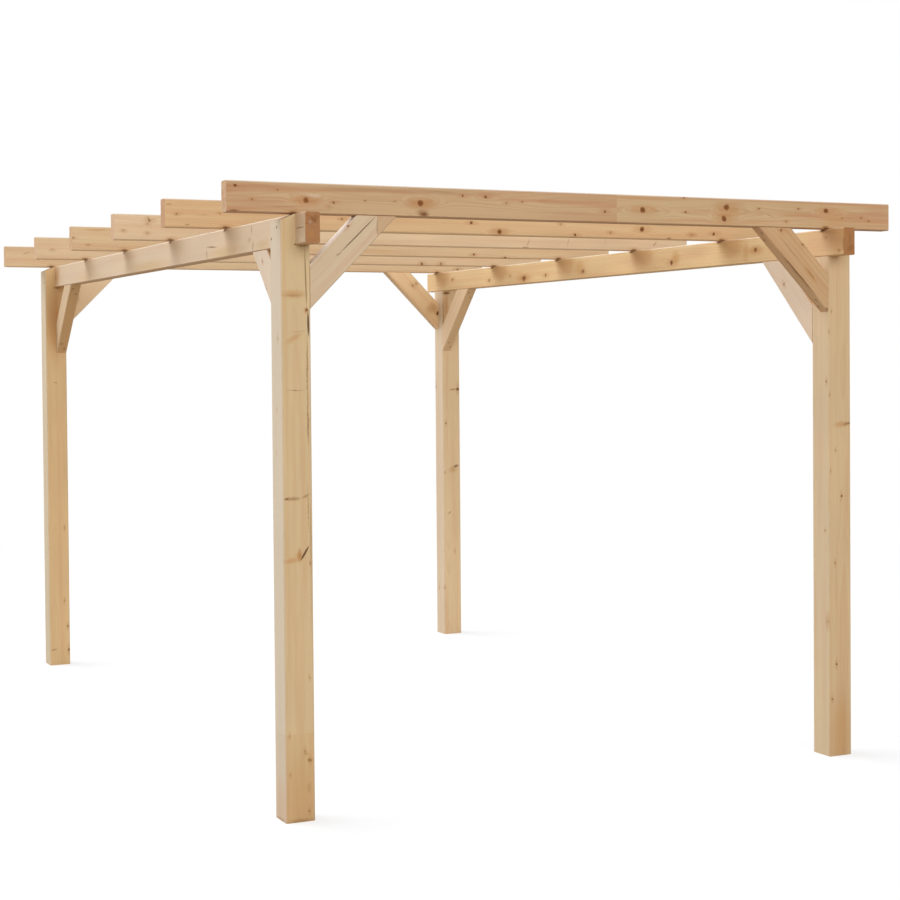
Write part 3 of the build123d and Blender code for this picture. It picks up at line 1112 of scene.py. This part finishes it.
bpy.ops.object.mode_set(mode="OBJECT")
corners = head.data.vertices
ring = [corner for corner in corners if corner.co.xy.length < 0.9 * HEAD_RADIUS]
ring.sort(key=lambda corner: math.atan2(corner.co.y, corner.co.x))
valleys = {corner.index for corner in ring[::2]}
choose(head.data, "VERT", lambda corner: corner.index in valleys)
bpy.ops.transform.resize(value=(VALLEY_SHARE, VALLEY_SHARE, 1), center_override=(0, 0, HEAD_RISE))
choose(head.data, "FACE", lambda face: face.normal.z > 0.9 and face.center.xy.length < NEARLY_NOTHING)
bpy.ops.mesh.extrude_region_move(TRANSFORM_OT_translate={"value": (0, 0, -RECESS_DEPTH)})


def on_rim(corner):
    return corner.co.z > HEAD_RISE - NEARLY_NOTHING and corner.co.xy.length > 0.95 * HEAD_RADIUS


choose(head.data, "EDGE", lambda edge: all(on_rim(head.data.vertices[i]) for i in edge.vertices))
bpy.ops.mesh.bevel(offset=RIM_BEVEL, segments=1)
bpy.ops.object.mode_set(mode="OBJECT")
print("screw head:", len(head.data.polygons), "faces")

# %% [markdown]
# ## Zinc-plated steel
# The heads are yellowish zinc-plated steel. A cloud of noise varies plating and shine
# together, and finer noise, drawn out one way, gives the driver's bright scratches.

# %% Build the steel
PLATED_LIGHT = from_screen(190, 162, 132)
PLATED_DULL = from_screen(150, 126, 100)
PLATED_WORN = from_screen(206, 190, 168)

steel = Recipe(bpy.data.materials.new("screw_steel"))
steel_place = steel.node("TexCoord").outputs["Object"]
cloudy = steel.noise(steel_place, 420.0, 3.0, 0.6)
brushed = steel.drawn_noise(steel_place, (3000.0, 500.0, 900.0))
plated = steel.blend(steel.rise(cloudy, 0.35, 0.65), PLATED_LIGHT, PLATED_DULL)
worn = steel.times(steel.rise(brushed, 0.60, 0.75), 0.5)
plated = steel.blend(worn, plated, PLATED_WORN)
steel_rough = steel.scaled(cloudy, 0.25, 0.28)
scratches = steel.times(brushed, 0.00003)
steel_bump = steel.node("Bump", Height=scratches, Distance=1.0, Strength=0.6)
shiny = steel.node("BsdfPrincipled", Roughness=steel_rough, Normal=steel_bump.outputs[0], Metallic=0.9)
steel.feed(shiny.inputs["Base Color"], plated)
steel.node("OutputMaterial", Surface=shiny.outputs[0])
head.data.materials.append(steel.owner)
print("steel:", len(steel.tree.nodes), "shader nodes")

# %% [markdown]
# ## Driving the screws
# Each copy has its own mesh, so that its place can be written into it, and is turned a
# little, because no two screws stop at the same angle.

# %% Copy the head to every place
turns = random.Random("turns of the screws")
for name, places in sorted(SCREWS.items()):
    for number, (place, outward) in enumerate(places, 1):
        screw = head.copy()
        screw.data = head.data.copy()
        screw.name = f"screw_{name}_{number}"
        bpy.context.scene.collection.objects.link(screw)
        spin = Matrix.Rotation(turns.uniform(0, math.pi / 3), 4, "Z")
        facing = outward.to_track_quat("Z", "Y").to_matrix().to_4x4()
        screw.matrix_world = Matrix.Translation(place) @ facing @ spin
        bpy.ops.object.select_all(action="DESELECT")
        screw.select_set(True)
        bpy.context.view_layer.objects.active = screw
        bpy.ops.object.transform_apply(location=True, rotation=True, scale=True)
        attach(screw, "root")
bpy.data.objects.remove(head)
print("screws driven")

# %% [markdown]
# The looks may not make the pergola bigger.
